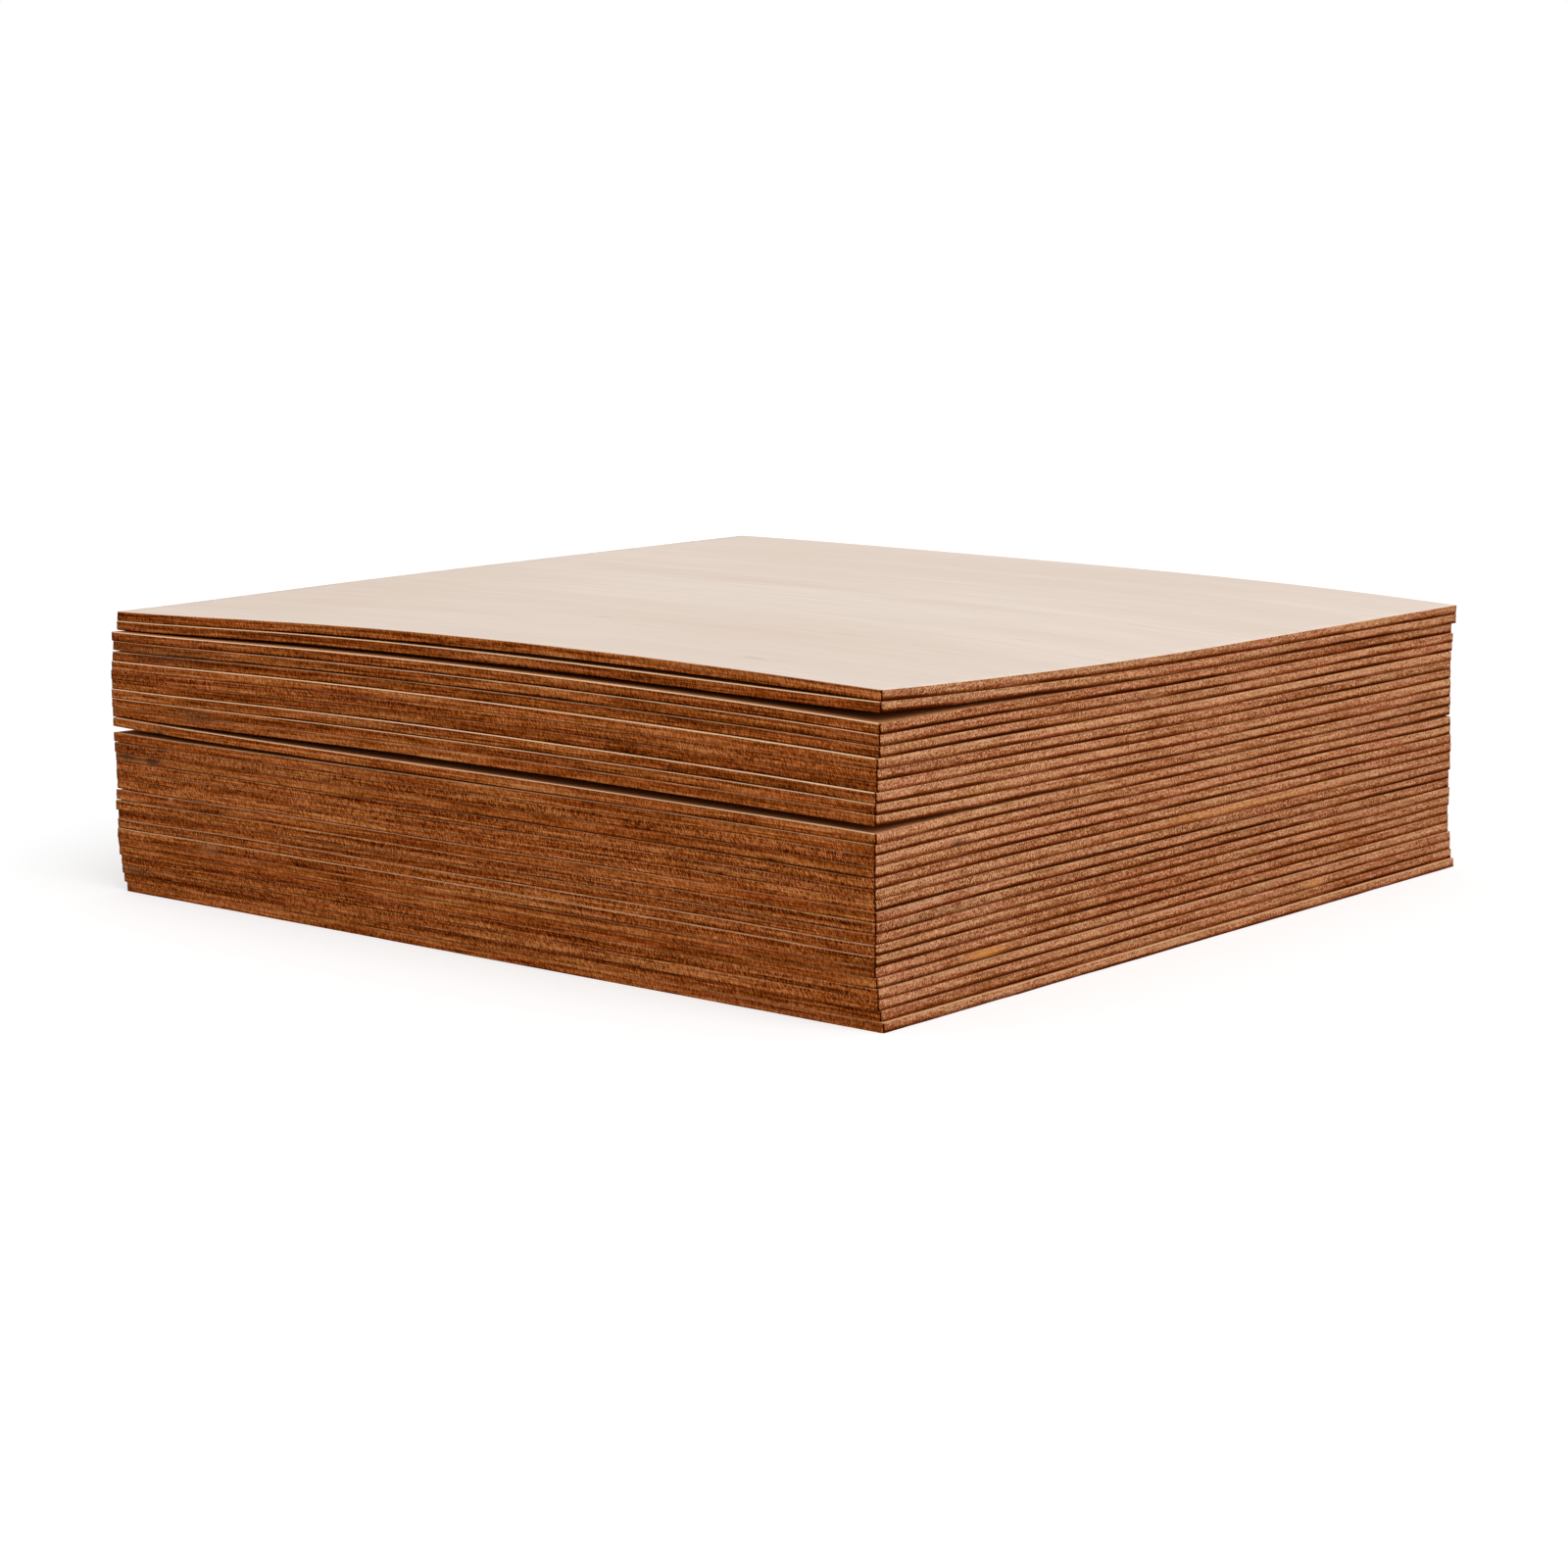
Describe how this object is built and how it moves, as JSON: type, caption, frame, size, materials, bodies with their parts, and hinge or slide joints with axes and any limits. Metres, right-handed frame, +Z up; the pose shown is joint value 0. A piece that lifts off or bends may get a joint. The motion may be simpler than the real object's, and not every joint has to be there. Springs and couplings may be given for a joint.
{
  "type": "stack of plywood sheets",
  "caption": "Stack of thin square craft plywood sheets lying flat, a little bowed and slipped, with browned edges and openings between some sheets.",
  "frame": {"origin": "on the floor under the middle of the stack, in the plane of the lowest sheet's underside", "axes": "+Z up through the stack; the sheets' sides run along X and Y, with the open front face towards -Y and the tighter right face towards +X"},
  "size_m": [0.3084, 0.3086, 0.0932],
  "materials": {
    "plywood": "unfinished pale basswood faces, sawn smooth, with heat-browned cut edges"
  },
  "bodies": {
    "root": {"sheet_01": "plywood", "sheet_02": "plywood", "sheet_03": "plywood", "sheet_04": "plywood", "sheet_05": "plywood", "sheet_06": "plywood", "sheet_07": "plywood", "sheet_08": "plywood", "sheet_09": "plywood", "sheet_10": "plywood", "sheet_11": "plywood", "sheet_12": "plywood", "sheet_13": "plywood", "sheet_14": "plywood", "sheet_15": "plywood", "sheet_16": "plywood", "sheet_17": "plywood", "sheet_18": "plywood", "sheet_19": "plywood", "sheet_20": "plywood", "sheet_21": "plywood", "sheet_22": "plywood", "sheet_23": "plywood", "sheet_24": "plywood", "sheet_25": "plywood", "sheet_26": "plywood", "sheet_27": "plywood", "sheet_28": "plywood", "sheet_29": "plywood"}
  },
  "joints": []
}
